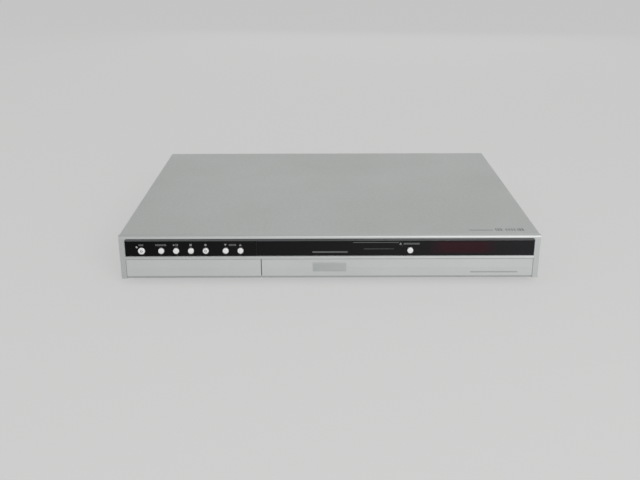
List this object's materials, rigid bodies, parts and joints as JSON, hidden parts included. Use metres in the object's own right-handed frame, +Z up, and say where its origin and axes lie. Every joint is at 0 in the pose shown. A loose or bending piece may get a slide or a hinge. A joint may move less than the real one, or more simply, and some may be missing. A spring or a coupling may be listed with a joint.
{
  "type": "disc recorder",
  "caption": "Slim flat-topped disc recorder: tray loader behind a black front window, round push buttons, flap over front sockets, and rear sockets with a fan.",
  "frame": {"origin": "centre of the box on the surface that the feet stand on", "axes": "+X to the right of the front, +Y from the front to the back, +Z up"},
  "size_m": [0.43, 0.338, 0.054],
  "materials": {
    "cover_paint": "satin silver paint",
    "chassis_steel": "zinc-plated steel, fine spangle",
    "panel_paint": "satin grey paint",
    "silver_moulding": "silver-painted moulding",
    "window_black": "black gloss acrylic",
    "button_silver": "bright silver caps",
    "lamp_red": "clear red",
    "display_glass": "smoked glass",
    "board_green": "solder mask",
    "board_tan": "paper laminate",
    "switch_black": "moulded",
    "socket_yellow": "moulded sockets",
    "steel_bright": "tinned and nickel-plated steel",
    "rubber_black": "soft rubber",
    "gear_white": "natural acetal",
    "frame_dark": "black moulding",
    "tray_dark": "fine-grained black moulding",
    "aluminium_bare": "extruded",
    "copper_wound": "yellow tape over windings",
    "lens_clear": "moulded lens"
  },
  "bodies": {
    "recorder": {"ac_inlet": "switch_black", "base_chassis": "chassis_steel", "capacitors": "switch_black", "case_screws": "steel_bright", "clamp_bridge": "steel_bright", "damper_rings": "rubber_black", "disc_board": "board_green", "display_module": "display_glass", "drive_belt": "rubber_black", "fan_frame": "frame_dark", "feet": "rubber_black", "front_bezel": "silver_moulding", "front_board": "board_green", "front_digital_socket": "steel_bright", "front_rca_jacks": "socket_yellow", "front_window": "window_black", "heat_sink": "aluminium_bare", "jack_board": "board_green", "loader_case": "steel_bright", "loader_frame": "frame_dark", "loader_lid": "steel_bright", "loading_motor": "steel_bright", "lower_trim": "silver_moulding", "optical_socket": "switch_black", "power_board": "board_tan", "rear_panel": "panel_paint", "rear_rca_jacks": "socket_yellow", "remote_sensor": "switch_black", "signal_board": "board_green", "standby_lamp": "lamp_red", "svideo_sockets": "switch_black", "tact_switches": "switch_black", "top_cover": "cover_paint", "transformer": "copper_wound", "tuner_module": "steel_bright"},
    "tray": {"disc_tray": "tray_dark", "tray_door": "window_black"},
    "drive_gear": {"drive_gear": "gear_white"},
    "pulley_gear": {"pulley_gear": "gear_white"},
    "motor_pulley": {"motor_pulley": "gear_white"},
    "cam_slider": {"cam_slider": "gear_white"},
    "traverse": {"traverse_frame": "frame_dark", "spindle_motor": "steel_bright", "guide_rods": "steel_bright", "sled_motor": "steel_bright"},
    "turntable": {"turntable": "frame_dark"},
    "clamper": {"clamper": "gear_white"},
    "pickup": {"pickup_sled": "aluminium_bare"},
    "lens": {"objective_lens": "lens_clear"},
    "lead_screw": {"lead_screw": "steel_bright"},
    "fan_rotor": {"fan_rotor": "frame_dark"},
    "jack_flap": {"jack_flap": "silver_moulding"},
    "power_button": {"power_button": "button_silver"},
    "source_button": {"source_button": "button_silver"},
    "play_button": {"play_button": "button_silver"},
    "stop_button": {"stop_button": "button_silver"},
    "record_button": {"record_button": "button_silver"},
    "channel_down_button": {"channel_down_button": "button_silver"},
    "channel_up_button": {"channel_up_button": "button_silver"},
    "eject_button": {"eject_button": "button_silver"}
  },
  "joints": [
    {"name": "tray_slide", "type": "slide", "parent": "recorder", "child": "tray", "axis": [0, -1, 0], "range_m": [0, 0.138]},
    {"name": "drive_gear_spin", "type": "hinge", "parent": "recorder", "child": "drive_gear", "pos_m": [-0.048, -0.1361, 0.0323], "axis": [0, 0, 1], "range_deg": [0, 879.53]},
    {"name": "pulley_gear_spin", "type": "hinge", "parent": "recorder", "child": "pulley_gear", "pos_m": [-0.034, -0.1361, 0.0279], "axis": [0, 0, 1], "range_deg": [-1582.36, 0]},
    {"name": "motor_pulley_spin", "type": "hinge", "parent": "recorder", "child": "motor_pulley", "pos_m": [0.034, -0.1361, 0.0245], "axis": [0, 0, 1], "range_deg": [-4547.42, 0]},
    {"name": "traverse_lift", "type": "hinge", "parent": "recorder", "child": "traverse", "pos_m": [0, 0.015, 0.026], "axis": [-1, 0, 0], "range_deg": [0, 3.56]},
    {"name": "cam_slide", "type": "slide", "parent": "recorder", "child": "cam_slider", "axis": [1, 0, 0], "range_m": [-0.0222, 0]},
    {"name": "spindle_spin", "type": "hinge", "parent": "traverse", "child": "turntable", "pos_m": [0, -0.09743, 0.019], "axis": [0, -0.0621, 0.9981], "continuous": true},
    {"name": "clamper_spin", "type": "hinge", "parent": "recorder", "child": "clamper", "pos_m": [0, -0.09765, 0.0384], "axis": [0, 0, 1], "continuous": true},
    {"name": "pickup_slide", "type": "slide", "parent": "traverse", "child": "pickup", "axis": [0, 0.9981, 0.0621], "range_m": [0, 0.034]},
    {"name": "lead_screw_spin", "type": "hinge", "parent": "traverse", "child": "lead_screw", "pos_m": [0.0355, -0.02474, 0.02052], "axis": [0, 0.9981, 0.0621], "range_deg": [0, 4082]},
    {"name": "lens_focus", "type": "slide", "parent": "pickup", "child": "lens", "axis": [0, -0.0621, 0.9981], "range_m": [0, 0.0007], "stiffness_N_per_m": 60},
    {"name": "fan_spin", "type": "hinge", "parent": "recorder", "child": "fan_rotor", "pos_m": [-0.124, 0.155, 0.031], "axis": [0, 1, 0], "continuous": true},
    {"name": "jack_flap_hinge", "type": "hinge", "parent": "recorder", "child": "jack_flap", "pos_m": [-0.0702, -0.1667, 0.0091], "axis": [1, 0, 0], "range_deg": [0, 90]},
    {"name": "power_press", "type": "slide", "parent": "recorder", "child": "power_button", "axis": [0, 1, 0], "range_m": [0, 0.0006], "stiffness_N_per_m": 800},
    {"name": "source_press", "type": "slide", "parent": "recorder", "child": "source_button", "axis": [0, 1, 0], "range_m": [0, 0.0006], "stiffness_N_per_m": 800},
    {"name": "play_press", "type": "slide", "parent": "recorder", "child": "play_button", "axis": [0, 1, 0], "range_m": [0, 0.0006], "stiffness_N_per_m": 800},
    {"name": "stop_press", "type": "slide", "parent": "recorder", "child": "stop_button", "axis": [0, 1, 0], "range_m": [0, 0.0006], "stiffness_N_per_m": 800},
    {"name": "record_press", "type": "slide", "parent": "recorder", "child": "record_button", "axis": [0, 1, 0], "range_m": [0, 0.0006], "stiffness_N_per_m": 800},
    {"name": "channel_down_press", "type": "slide", "parent": "recorder", "child": "channel_down_button", "axis": [0, 1, 0], "range_m": [0, 0.0006], "stiffness_N_per_m": 800},
    {"name": "channel_up_press", "type": "slide", "parent": "recorder", "child": "channel_up_button", "axis": [0, 1, 0], "range_m": [0, 0.0006], "stiffness_N_per_m": 800},
    {"name": "eject_press", "type": "slide", "parent": "recorder", "child": "eject_button", "axis": [0, 1, 0], "range_m": [0, 0.0006], "stiffness_N_per_m": 800}
  ],
  "couplings": [
    {"joint": "drive_gear_spin", "follows": "tray_slide", "rad_per_m": 111.11},
    {"joint": "pulley_gear_spin", "follows": "tray_slide", "rad_per_m": -200},
    {"joint": "motor_pulley_spin", "follows": "tray_slide", "rad_per_m": -575},
    {"joint": "cam_slide", "follows": "traverse_lift", "m_per_rad": -0.35381},
    {"joint": "clamper_spin", "follows": "spindle_spin", "ratio": 1},
    {"joint": "lead_screw_spin", "follows": "pickup_slide", "rad_per_m": 2094.4}
  ]
}
